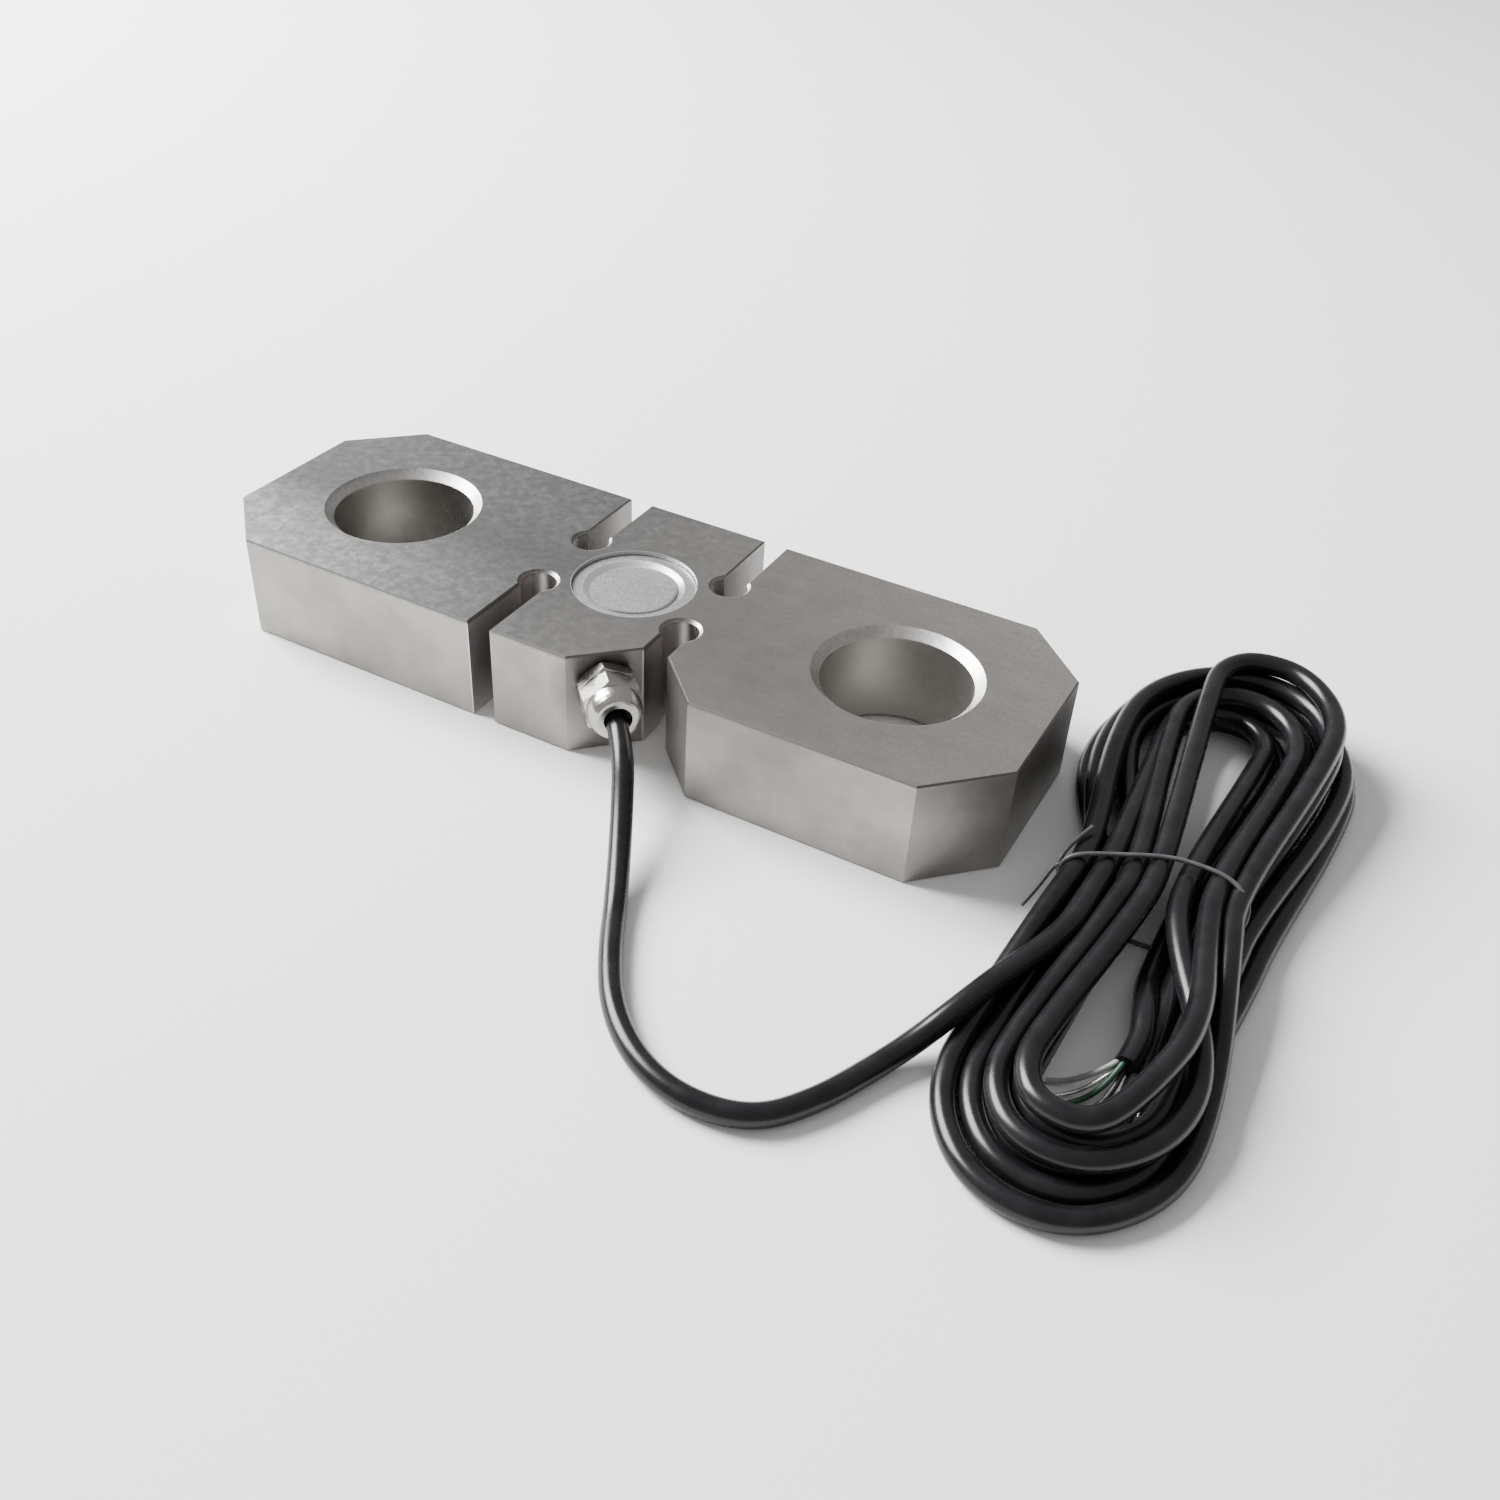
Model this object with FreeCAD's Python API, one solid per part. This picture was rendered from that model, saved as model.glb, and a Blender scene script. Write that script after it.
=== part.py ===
import FreeCAD, Part
import math
import os

from FreeCAD import Placement, Rotation, Vector

# Wire rope tension sensor: a slotted steel plate with two shackle eyes, gauge pockets closed by
# pressed discs, a cable gland on a chamfered corner, and its cable tied in a hank beside it.
# Millimetres. X runs along the pull, Z up from the face that the plate lies on, and the origin
# is under the middle of the plate.

# Sensor plate
plate_length = 240.0
plate_width = 80.0
plate_thickness = 30.0
end_chamfer = 18.0
edge_break = 0.4
eye_spacing = 158.0
eye_bore = 40.0
eye_countersink = 2.5

# Relief slots, two from each long side, with round ends
slot_spacing = 45.0
slot_width = 7.0
slot_end_bore = 10.0
slot_end_chamfer = 0.8
neck_width = 16.0

# Gauge pockets, one from each face, with the web between them
web_thickness = 6.0
cover_seat_ledge = 2.5
cover_seat_depth = 2.0

# Pressed cover disc, with the dish that hangs in the pocket
cover_fit = 0.2
cover_sheet = 0.8
cover_dish_depth = 1.1
cover_dish_fit = 0.8
cover_flat_diameter = 24.6
cover_slope_width = 1.6
cover_edge_radius = 0.3
cover_bend_radius = 0.5

# Chamfered gland corner, and the relief that faces it across the slot
gland_corner = 14.5
port_depth = 8.5
port_thread = 12.0
thread_fit = 0.05
passage_bore = 3.6
passage_rise = 0.2
passage_angle = 25.0
passage_overrun = 3.0

# Cable gland, lengths measured outwards from the chamfered face
gasket_thickness = 1.0
gasket_width = 1.1
hexagon_across_flats = 14.5
hexagon_turn = 23.0
body_hexagon_height = 3.5
hexagon_rim_inset = 0.12
hexagon_rim_slope = 0.5
spigot_length = 7.5
cable_bore = 6.6
cup_floor = 0.3
cup_bore = 10.4
cup_height = 4.9
neck_thread = 12.4
nut_gap = 0.7
nut_hexagon_height = 5.6
nut_dome_height = 5.2
nut_crown_steps = 6
nut_mouth = 7.4
nut_lip = 1.4
nut_thread_length = 5.2
claw_wall = 0.95
claw_finger_length = 2.4
claw_finger_taper = 0.45
claw_slot_width = 1.2
claw_slot_depth = 3.4
claw_slots = 6
insert_fit = 0.05
seal_overhang = 3.6
seal_nose = 0.8

# Strain gauges, bridge board and its wires
gauge_length = 6.4
gauge_width = 4.0
gauge_film = 0.12
gauge_tab_length = 1.0
gauge_tab_width = 1.2
gauge_tab_height = 0.06
gauge_offset = 10.0
board_length = 12.0
board_width = 7.0
board_thickness = 1.0
pad_diameter = 1.2
pad_height = 0.15
pad_pitch = 3.0
pads_in_row = 4
pad_edge = 1.0
lead_diameter = 1.0
lead_gap = 0.1
lead_bend = 2.5
lead_start = 1.0
solder_gap = 0.02
gauge_wire = 0.4
gauge_wire_bend = 0.7
web_hole_bore = 3.2
web_hole_y = 9.0
web_hole_pitch = 0.7

# Cable, its route from the gland to the hank, and the bare cores of its far end
cable_diameter = 5.6
cable_grip = 0.02
bend_share = 0.45
cable_route = [
    (37.5, -65.0, 9.0),
    (47.5, -83.0, 2.8),
    (56.5, -100.0, 2.8),
    (66.0, -113.5, 2.8),
    (78.8, -124.2, 2.8),
    (93.8, -127.45, 2.8),
    (108.5, -123.4, 2.8),
    (119.8, -113.0, 2.8),
    (125.3, -98.4, 2.8),
    (131.0, -85.0, 4.6),
    (138.0, -72.5, 8.0),
]
cable_lead_out = 6.5
core_diameter = 1.3
drain_diameter = 0.9
core_fan_middle = (171.5, -62.0)
core_fan_pitch = 1.7
core_fan_height = 8.0
core_bend_height = 2.6
core_curl = 1.0
core_tips = {
    "core_black": (154.5, -77.0),
    "core_white": (157.5, -82.5),
    "core_green": (160.5, -85.0),
    "core_red": (163.2, -86.5),
    "drain_wire": (165.8, -87.0),
}

# Tied hank: a flat bundle that runs round two loops and narrows at the tie
hank_width = 22.0
hank_height = 21.0
hank_corner = 7.0
near_loop_centre = (160.5, -92.0)
near_loop_radius = 16.5
far_loop_centre = (157.0, 43.5)
far_loop_radius = 22.5
waist_gap = 2.6
tie_diameter = 1.3
tie_fit = 0.05
tie_shift = 10.0
tie_tail = 10.0
tie_tail_rise = 2.0
tie_tail_spread = 1.0
tie_tail_height = 14.0

# Places worked out from the sizes above
half_length = plate_length / 2
half_width = plate_width / 2
slot_inner = (slot_spacing - slot_width) / 2
slot_outer = (slot_spacing + slot_width) / 2
pocket_bore = cover_flat_diameter + 2 * (cover_slope_width + cover_dish_fit)
cover_seat_bore = pocket_bore + 2 * cover_seat_ledge
web_top = (plate_thickness + web_thickness) / 2
web_bottom = (plate_thickness - web_thickness) / 2
port_height = web_top + passage_bore / 2 + passage_rise
port_out = Vector(1, -1, 0).normalize()
port_side = Vector(1, 1, 0).normalize()
port_face = Vector(slot_inner - gland_corner / 2, -half_width + gland_corner / 2, port_height)
port_floor = port_face - port_out * port_depth
passage_heading = math.radians(135.0 - passage_angle)
passage_way = Vector(math.cos(passage_heading), math.sin(passage_heading), 0)
passage_side = Vector(passage_way.y, -passage_way.x, 0)
passage_miss = port_floor.dot(passage_side)
passage_length = -port_floor.dot(passage_way) - math.sqrt((pocket_bore / 2) ** 2 - passage_miss ** 2)
body_hexagon_top = gasket_thickness + body_hexagon_height
cup_bottom = body_hexagon_top + cup_floor
cup_top = cup_bottom + cup_height
nut_bottom = body_hexagon_top + nut_gap
nut_shoulder = nut_bottom + nut_hexagon_height
nut_top = nut_shoulder + nut_dome_height
cable_radius = cable_diameter / 2
waist_leg = (hank_width + waist_gap) / 2


def cylinder(radius, height, base, axis=Vector(0, 0, 1)):
    return Part.makeCylinder(radius, height, base, axis)


def revolved(profile):
    """Solid turned about Z from (radius, height) corners."""
    corners = [Vector(radius, 0, height) for radius, height in profile]
    face = Part.Face(Part.makePolygon(corners + corners[:1]))
    return face.revolve(Vector(0, 0, 0), Vector(0, 0, 1), 360)


def prism(corners, height):
    """Upright solid on the XY plane with the given outline."""
    points = [Vector(x, y, 0) for x, y in corners]
    return Part.Face(Part.makePolygon(points + points[:1])).extrude(Vector(0, 0, height))


def on_port(shape):
    """A piece modelled along Z, set on the gland corner with Z pointing out of the plate."""
    placed = shape.copy()
    placed.Placement = Placement(port_face, Rotation(Vector(0, 0, 1), port_out))
    return placed


def rounded_path(points, bend_limit=None):
    """Straight runs through the points, joined by tangent arcs as large as the runs allow."""
    points = [Vector(*point) for point in points]
    edges = []
    radii = []
    start = points[0]
    for before, corner, after in zip(points, points[1:], points[2:]):
        way_in = (corner - before).normalize()
        way_out = (after - corner).normalize()
        half_turn = way_in.getAngle(way_out) / 2
        reach = bend_share * min(corner.distanceToPoint(before), corner.distanceToPoint(after))
        radius = reach / math.tan(half_turn)
        if bend_limit is not None and radius > bend_limit:
            radius = bend_limit
            reach = radius * math.tan(half_turn)
        radii.append(radius)
        arc_start = corner - way_in * reach
        arc_end = corner + way_out * reach
        inward = (way_out - way_in).normalize()
        arc_middle = corner + inward * (radius / math.cos(half_turn) - radius)
        edges.append(Part.LineSegment(start, arc_start).toShape())
        edges.append(Part.Arc(arc_start, arc_middle, arc_end).toShape())
        start = arc_end
    edges.append(Part.LineSegment(start, points[-1]).toShape())
    return Part.Wire(edges), radii


def tube(path, diameter):
    """Round solid along a wire that starts with a straight run."""
    first = path.OrderedEdges[0]
    start = first.valueAt(first.FirstParameter)
    way = first.tangentAt(first.FirstParameter)
    ring = Part.Wire(Part.makeCircle(diameter / 2, start, way))
    return path.makePipeShell([ring], True, True)


def hexagon(across_flats, bottom, height):
    """Hexagon bar end along Z with both rims turned to a chamfer."""
    corner_radius = across_flats / math.sqrt(3)
    turns = [math.radians(hexagon_turn + 60 * i) for i in range(6)]
    outline = [(corner_radius * math.cos(turn), corner_radius * math.sin(turn)) for turn in turns]
    bar = prism(outline, height)
    rim = across_flats / 2 - hexagon_rim_inset
    rise = (corner_radius - rim) * hexagon_rim_slope
    turned = revolved([
        (0, 0),
        (rim, 0),
        (corner_radius, rise),
        (corner_radius, height - rise),
        (rim, height),
        (0, height),
    ])
    piece = bar.common(turned)
    piece.translate(Vector(0, 0, bottom))
    return piece


def make_sensor_body():
    outline = [
        (-half_length, -half_width + end_chamfer),
        (-half_length + end_chamfer, -half_width),
        (half_length - end_chamfer, -half_width),
        (half_length, -half_width + end_chamfer),
        (half_length, half_width - end_chamfer),
        (half_length - end_chamfer, half_width),
        (-half_length + end_chamfer, half_width),
        (-half_length, half_width - end_chamfer),
    ]
    body = prism(outline, plate_thickness)

    # slots run in from both long sides to round ends on either side of the neck
    end_y = (neck_width + slot_end_bore) / 2
    for side_x in (-1, 1):
        for side_y in (-1, 1):
            centre = Vector(side_x * slot_spacing / 2, side_y * end_y, 0)
            slot_y = end_y if side_y > 0 else -half_width
            slot = Part.makeBox(slot_width, half_width - end_y, plate_thickness,
                                Vector(centre.x - slot_width / 2, slot_y, 0))
            body = body.cut(slot.fuse(cylinder(slot_end_bore / 2, plate_thickness, centre)))

    # gland corner on the middle block and the relief across the slot from it
    gland_cut = [
        (slot_inner - gland_corner, -half_width),
        (slot_inner, -half_width),
        (slot_inner, -half_width + gland_corner),
    ]
    relief_cut = [
        (slot_outer, -half_width),
        (slot_outer + gland_corner, -half_width),
        (slot_outer, -half_width + gland_corner),
    ]
    for corners in (gland_cut, relief_cut):
        body = body.cut(prism(corners, plate_thickness))

    # every edge of the top and bottom outline is broken
    rims = [edge for edge in body.Edges if edge.BoundBox.ZLength < 1e-6]
    body = body.makeChamfer(edge_break, rims)

    # round ends of the slots are countersunk on both faces
    for side_x in (-1, 1):
        for side_y in (-1, 1):
            body = body.cut(rim_cones(slot_end_bore / 2, slot_end_chamfer,
                                      side_x * slot_spacing / 2, side_y * end_y))

    # shackle eyes, countersunk on both faces
    for side_x in (-1, 1):
        eye_x = side_x * eye_spacing / 2
        body = body.cut(cylinder(eye_bore / 2, plate_thickness, Vector(eye_x, 0, 0)))
        body = body.cut(rim_cones(eye_bore / 2, eye_countersink, eye_x, 0))

    # gauge pockets with their cover seats, and the wire hole through the web
    pocket_depth = plate_thickness - web_top
    for base, axis in ((plate_thickness, -1), (0, 1)):
        down = Vector(0, 0, axis)
        body = body.cut(cylinder(pocket_bore / 2, pocket_depth, Vector(0, 0, base), down))
        body = body.cut(cylinder(cover_seat_bore / 2, cover_seat_depth, Vector(0, 0, base), down))
    body = body.cut(cylinder(web_hole_bore / 2, web_thickness, Vector(0, web_hole_y, web_bottom)))

    # threaded port, and the slanted passage from it into the upper pocket
    body = body.cut(cylinder(port_thread / 2, port_depth, port_face, port_out * -1))
    mouth = port_floor - passage_way * passage_overrun
    return body.cut(cylinder(passage_bore / 2, passage_length + 2 * passage_overrun, mouth, passage_way))


def rim_cones(radius, leg, x, y):
    """Countersinks of one upright hole, on the top and the bottom face."""
    top = Part.makeCone(radius + leg, radius, leg, Vector(x, y, plate_thickness), Vector(0, 0, -1))
    bottom = Part.makeCone(radius + leg, radius, leg, Vector(x, y, 0), Vector(0, 0, 1))
    return Part.makeCompound([top, bottom])


def make_cover():
    """Pressed disc for the top face: flat rim on the seat, sloped step, lower flat middle."""
    seat = plate_thickness - cover_seat_depth
    rim_radius = cover_seat_bore / 2 - cover_fit
    flat_radius = cover_flat_diameter / 2
    step_radius = flat_radius + cover_slope_width
    disc = revolved([
        (0, seat - cover_dish_depth),
        (flat_radius, seat - cover_dish_depth),
        (step_radius, seat),
        (rim_radius, seat),
        (rim_radius, seat + cover_sheet),
        (step_radius, seat + cover_sheet),
        (flat_radius, seat + cover_sheet - cover_dish_depth),
        (0, seat + cover_sheet - cover_dish_depth),
    ])
    upper = [edge for edge in disc.Edges if edge.BoundBox.ZLength < 1e-6 and edge.BoundBox.XLength > 1]
    rim = [edge for edge in upper
           if abs(edge.BoundBox.ZMax - seat - cover_sheet) < 1e-6
           and abs(edge.BoundBox.XMax - rim_radius) < 1e-6]
    bends = [edge for edge in upper if edge.BoundBox.XMax < rim_radius - cover_slope_width / 2]
    return disc.makeFillet(cover_bend_radius, bends).makeFillet(cover_edge_radius, rim)


def make_gland_gasket():
    inner = port_thread / 2 + thread_fit
    ring = cylinder(inner + gasket_width, gasket_thickness, Vector(0, 0, 0))
    return on_port(ring.cut(cylinder(inner, gasket_thickness, Vector(0, 0, 0))))


def make_gland_body():
    spigot = cylinder(port_thread / 2 - thread_fit, spigot_length + gasket_thickness,
                      Vector(0, 0, -spigot_length))
    neck = cylinder(neck_thread / 2, cup_top - body_hexagon_top, Vector(0, 0, body_hexagon_top))
    body = hexagon(hexagon_across_flats, gasket_thickness, body_hexagon_height).fuse([spigot, neck])
    body = body.cut(cylinder(cable_bore / 2, spigot_length + cup_bottom, Vector(0, 0, -spigot_length)))
    body = body.cut(cylinder(cup_bore / 2, cup_height, Vector(0, 0, cup_bottom)))
    return on_port(body.removeSplitter())


def make_gland_claw():
    outer = cup_bore / 2 - insert_fit
    inner = outer - claw_wall
    tip = cup_top + claw_finger_length
    claw = revolved([
        (inner, cup_bottom),
        (outer, cup_bottom),
        (outer, cup_top),
        (outer - claw_finger_taper, tip),
        (inner, tip),
    ])
    for i in range(claw_slots):
        slot = Part.makeBox(outer, claw_slot_width, claw_slot_depth,
                            Vector(0, -claw_slot_width / 2, tip - claw_slot_depth))
        slot.rotate(Vector(0, 0, 0), Vector(0, 0, 1), i * 360 / claw_slots)
        claw = claw.cut(slot)
    return on_port(claw)


def make_gland_seal():
    outer = cup_bore / 2 - 2 * insert_fit - claw_wall
    inner = cable_radius + cable_grip
    end = cup_top + seal_overhang
    return on_port(revolved([
        (inner, cup_bottom),
        (outer, cup_bottom),
        (outer, end - seal_nose),
        (outer - seal_nose / 2, end),
        (inner, end),
    ]))


def make_gland_nut():
    bar = hexagon(hexagon_across_flats, nut_bottom, nut_hexagon_height)
    shoulder = hexagon_across_flats / 2
    mouth = nut_mouth / 2
    face = mouth + nut_lip
    # quarter-ellipse crown from the hexagon's flats to the flat lip round the mouth
    crown = []
    for i in range(nut_crown_steps + 1):
        turn = math.radians(90 * i / nut_crown_steps)
        crown.append((face + (shoulder - face) * math.cos(turn),
                      nut_shoulder + nut_dome_height * math.sin(turn)))
    dome = revolved([(0, nut_shoulder)] + crown + [(0, nut_top)])
    thread = neck_thread / 2 + thread_fit
    throat = nut_bottom + nut_thread_length
    hollow = revolved([
        (0, nut_bottom),
        (thread, nut_bottom),
        (thread, throat),
        (mouth, nut_top - nut_lip),
        (mouth, nut_top),
        (0, nut_top),
    ])
    return on_port(bar.fuse(dome).cut(hollow).removeSplitter())


def make_gauge(x, face_z, outward, along_x):
    """Foil gauge bonded to the web, with two solder tabs at the end nearest the board."""
    size = (gauge_length, gauge_width) if along_x else (gauge_width, gauge_length)
    film = Part.makeBox(size[0], size[1], gauge_film, Vector(x - size[0] / 2, -size[1] / 2, 0))
    tabs = []
    for tab_x, tab_y in gauge_tab_places(x, along_x):
        tabs.append(Part.makeBox(gauge_tab_length, gauge_tab_width, gauge_tab_height,
                                 Vector(tab_x - gauge_tab_length / 2, tab_y - gauge_tab_width / 2,
                                        gauge_film)))
    gauge = film.fuse(tabs).removeSplitter()
    if outward < 0:
        gauge = gauge.mirror(Vector(0, 0, 0), Vector(0, 0, 1))
    gauge.translate(Vector(0, 0, face_z))
    return gauge


def gauge_tab_places(x, along_x):
    reach = (gauge_length if along_x else gauge_width) / 2
    tab_x = x - math.copysign(reach - gauge_tab_length / 2 - gauge_film, x)
    return [(tab_x, side * gauge_width / 4) for side in (-1, 1)]


def pad_places(row):
    """Solder pads along the front (-1) or rear (1) edge of the board."""
    y = row * (board_width / 2 - pad_edge)
    return [((i - (pads_in_row - 1) / 2) * pad_pitch, y) for i in range(pads_in_row)]


def make_bridge_board():
    board = Part.makeBox(board_length, board_width, board_thickness,
                         Vector(-board_length / 2, -board_width / 2, web_top))
    pads = []
    for row in (-1, 1):
        for x, y in pad_places(row):
            pads.append(cylinder(pad_diameter / 2, pad_height, Vector(x, y, web_top + board_thickness)))
    return board.fuse(pads).removeSplitter()


def make_inner_lead(pad, side, level):
    """One core from the stripped cable end, through the port and the passage, to its pad."""
    offset = (lead_diameter + lead_gap) / 2
    lift = Vector(0, 0, level * offset)
    start = port_face - port_out * lead_start + port_side * (side * offset) + lift
    half_bend = math.radians(passage_angle) / 2
    sideways = (port_side + passage_side).normalize() * (side * offset / math.cos(half_bend))
    corner = port_floor + sideways + lift
    inside = corner + passage_way * (passage_length + passage_overrun)
    pad_top = web_top + board_thickness + pad_height + lead_diameter / 2 + solder_gap
    end = Vector(pad[0], pad[1], pad_top)
    path, radii = rounded_path([start, corner, inside, end], lead_bend)
    return tube(path, lead_diameter)


def make_gauge_wires(face_z, outward):
    """Two fine wires from each gauge of one web face to the board's rear pads."""
    wires = []
    pads = pad_places(1)
    pad_z = web_top + board_thickness + pad_height + gauge_wire / 2
    tab_top = face_z + outward * (gauge_film + gauge_tab_height)
    tabs = gauge_tab_places(-gauge_offset, True) + gauge_tab_places(gauge_offset, False)[::-1]
    for i, ((tab_x, tab_y), (pad_x, pad_y)) in enumerate(zip(tabs, pads)):
        if outward > 0:
            rise = Vector(tab_x, tab_y, pad_z + gauge_wire * 2)
            points = [Vector(tab_x, tab_y, tab_top), rise, Vector(pad_x, pad_y, pad_z)]
        else:
            hole = Vector((i - (pads_in_row - 1) / 2) * web_hole_pitch, web_hole_y, 0)
            tab_z = tab_top - gauge_wire / 2
            points = [
                Vector(tab_x, tab_y, tab_z),
                hole + Vector(0, 0, tab_z - gauge_wire),
                hole + Vector(0, 0, web_top + gauge_wire * 3),
                Vector(pad_x, pad_y + gauge_wire * 2, pad_z),
            ]
        path, radii = rounded_path(points, gauge_wire_bend)
        wires.append(tube(path, gauge_wire))
    return Part.makeCompound(wires)


def make_cable():
    """Round cable from inside the gland body to just inside the hank."""
    inside = port_face + port_out * gasket_thickness
    outside = port_face + port_out * (nut_top + cable_lead_out)
    path, radii = rounded_path([inside, outside] + cable_route)
    print("cable bend radii", [round(radius, 1) for radius in radii])
    cable = tube(path, cable_diameter)
    section = math.pi * cable_radius ** 2
    print("cable volume over section times length", round(cable.Volume / (section * path.Length), 5))
    print("cable run length", round(path.Length, 1))
    return cable


def hank_waist():
    """Radius of the two arcs tangent to both end arcs, the waist's middle, and the way across it."""
    near = Vector(*near_loop_centre, 0)
    far = Vector(*far_loop_centre, 0)
    length = near.distanceToPoint(far)
    along = (far - near).normalize()
    across = Vector(along.y, -along.x, 0)
    slant = (near_loop_radius - far_loop_radius) / length
    chord = (length ** 2 + near_loop_radius ** 2 - far_loop_radius ** 2) / (2 * length)
    swell = near_loop_radius - waist_leg - chord * slant
    rest = waist_leg ** 2 - near_loop_radius ** 2 + chord ** 2
    radius = rest / (swell + math.sqrt(swell ** 2 - slant ** 2 * rest))
    return radius, near + along * (chord + slant * radius), across


def hank_path():
    """Closed centre line of the bundle: two end arcs joined by two waist arcs."""
    near = Vector(*near_loop_centre, 0)
    far = Vector(*far_loop_centre, 0)
    radius, middle, across = hank_waist()
    edges = []
    for side in (1, -1):
        centre = middle + across * (side * (waist_leg + radius))
        touch_near = near + (centre - near).normalize() * near_loop_radius
        touch_far = far + (centre - far).normalize() * far_loop_radius
        edges.append(Part.Arc(touch_near, centre - across * (side * radius), touch_far).toShape())
    along = (far - near).normalize()
    right_near, right_far = edges[0].valueAt(edges[0].FirstParameter), edges[0].valueAt(edges[0].LastParameter)
    left_near, left_far = edges[1].valueAt(edges[1].FirstParameter), edges[1].valueAt(edges[1].LastParameter)
    edges.append(Part.Arc(right_far, far + along * far_loop_radius, left_far).toShape())
    edges.append(Part.Arc(left_near, near - along * near_loop_radius, right_near).toShape())
    return Part.Wire(Part.__sortEdges__(edges))


def rounded_rectangle(width, height, corner, origin, side, up):
    """Closed wire, width along side and height along up, standing on origin."""
    def at(s, u):
        return origin + side * s + up * u
    half = width / 2
    cut = corner * (1 - math.sqrt(0.5))
    edges = [
        Part.LineSegment(at(-half + corner, 0), at(half - corner, 0)).toShape(),
        Part.Arc(at(half - corner, 0), at(half - cut, cut), at(half, corner)).toShape(),
        Part.LineSegment(at(half, corner), at(half, height - corner)).toShape(),
        Part.Arc(at(half, height - corner), at(half - cut, height - cut), at(half - corner, height)).toShape(),
        Part.LineSegment(at(half - corner, height), at(-half + corner, height)).toShape(),
        Part.Arc(at(-half + corner, height), at(-half + cut, height - cut), at(-half, height - corner)).toShape(),
        Part.LineSegment(at(-half, height - corner), at(-half, corner)).toShape(),
        Part.Arc(at(-half, corner), at(-half + cut, cut), at(-half + corner, 0)).toShape(),
    ]
    return Part.Wire(edges)


def make_hank():
    path = hank_path()
    first = path.OrderedEdges[0]
    start = first.valueAt(first.FirstParameter)
    way = first.tangentAt(first.FirstParameter)
    side = Vector(way.y, -way.x, 0)
    section = rounded_rectangle(hank_width, hank_height, hank_corner, start, side, Vector(0, 0, 1))
    return path.makePipeShell([section], True, True)


def tie_place():
    """Middle of the tie on the floor, the ways across and along the hank, and half the tie's width."""
    radius, middle, across = hank_waist()
    along = Vector(-across.y, across.x, 0)
    leg = waist_leg + radius - math.sqrt(radius ** 2 - tie_shift ** 2)
    return middle + along * tie_shift, across, along, leg + hank_width / 2 + tie_diameter / 2 + tie_fit


def tie_path():
    """Loop round both legs of the hank, a little way from its narrowest place."""
    middle, across, along, reach = tie_place()
    base = middle + Vector(0, 0, tie_diameter / 2)
    corner = hank_corner + tie_diameter / 2 + tie_fit
    return rounded_rectangle(2 * reach, hank_height + tie_fit, corner, base, across, Vector(0, 0, 1))


def make_tie():
    """Tie wire round the hank, with the twisted tail left at its outer shoulder."""
    middle, across, along, reach = tie_place()
    root = middle - across * reach + Vector(0, 0, tie_tail_height)
    tail_way = along * tie_tail - across * tie_tail_spread + Vector(0, 0, tie_tail_rise)
    tail = cylinder(tie_diameter / 2, tail_way.Length, root, tail_way)
    return tube(tie_path(), tie_diameter).fuse(tail).removeSplitter()


def make_core(name, place, diameter):
    """One bare core of the far end, fanned out from inside the hank's wall to its tip on the floor."""
    floor = diameter / 2
    middle = Vector(*core_fan_middle, floor)
    tips = [Vector(*tip, floor) for tip in core_tips.values()]
    way = (tips[len(tips) // 2] - middle).normalize()
    across = Vector(-way.y, way.x, 0)
    foot = middle + across * (place * core_fan_pitch)
    tip = Vector(*core_tips[name], floor)
    bend = (foot + tip) / 2 + across * core_curl + Vector(0, 0, core_bend_height)
    path, radii = rounded_path([foot + Vector(0, 0, core_fan_height), bend, tip])
    print(name, "length", round(path.Length, 1), "bend radii", [round(radius, 1) for radius in radii])
    return tube(path, diameter)


nodes = {}
nodes["sensor_body"] = make_sensor_body()
nodes["top_cover"] = make_cover()
nodes["bottom_cover"] = make_cover().mirror(Vector(0, 0, plate_thickness / 2), Vector(0, 0, 1))
nodes["gauge_top_axial"] = make_gauge(-gauge_offset, web_top, 1, True)
nodes["gauge_top_cross"] = make_gauge(gauge_offset, web_top, 1, False)
nodes["gauge_bottom_axial"] = make_gauge(-gauge_offset, web_bottom, -1, True)
nodes["gauge_bottom_cross"] = make_gauge(gauge_offset, web_bottom, -1, False)
nodes["bridge_board"] = make_bridge_board()
nodes["gauge_wires_top"] = make_gauge_wires(web_top, 1)
nodes["gauge_wires_bottom"] = make_gauge_wires(web_bottom, -1)
lead_places = {"red": (-1, -1), "black": (-1, 1), "green": (1, 1), "white": (1, -1)}
for pad, (colour, (side, level)) in zip(pad_places(-1), lead_places.items()):
    nodes["inner_lead_" + colour] = make_inner_lead(pad, side, level)
nodes["gland_gasket"] = make_gland_gasket()
nodes["gland_body"] = make_gland_body()
nodes["gland_claw"] = make_gland_claw()
nodes["gland_seal"] = make_gland_seal()
nodes["gland_nut"] = make_gland_nut()

hank = make_hank()
nodes["cable_run"] = make_cable().cut(hank)
for i, name in enumerate(core_tips):
    diameter = drain_diameter if name == "drain_wire" else core_diameter
    nodes[name] = make_core(name, i - len(core_tips) // 2, diameter).cut(hank)
nodes["hank_tie"] = make_tie()
nodes["cable_hank"] = hank.cut(tube(tie_path(), tie_diameter + tie_fit))

os.makedirs("parts", exist_ok=True)
for name, shape in nodes.items():
    shape.exportStep("parts/" + name + ".step")
    print(name, "solids", len(shape.Solids), "valid", shape.isValid(), "volume", round(shape.Volume, 2))
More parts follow.
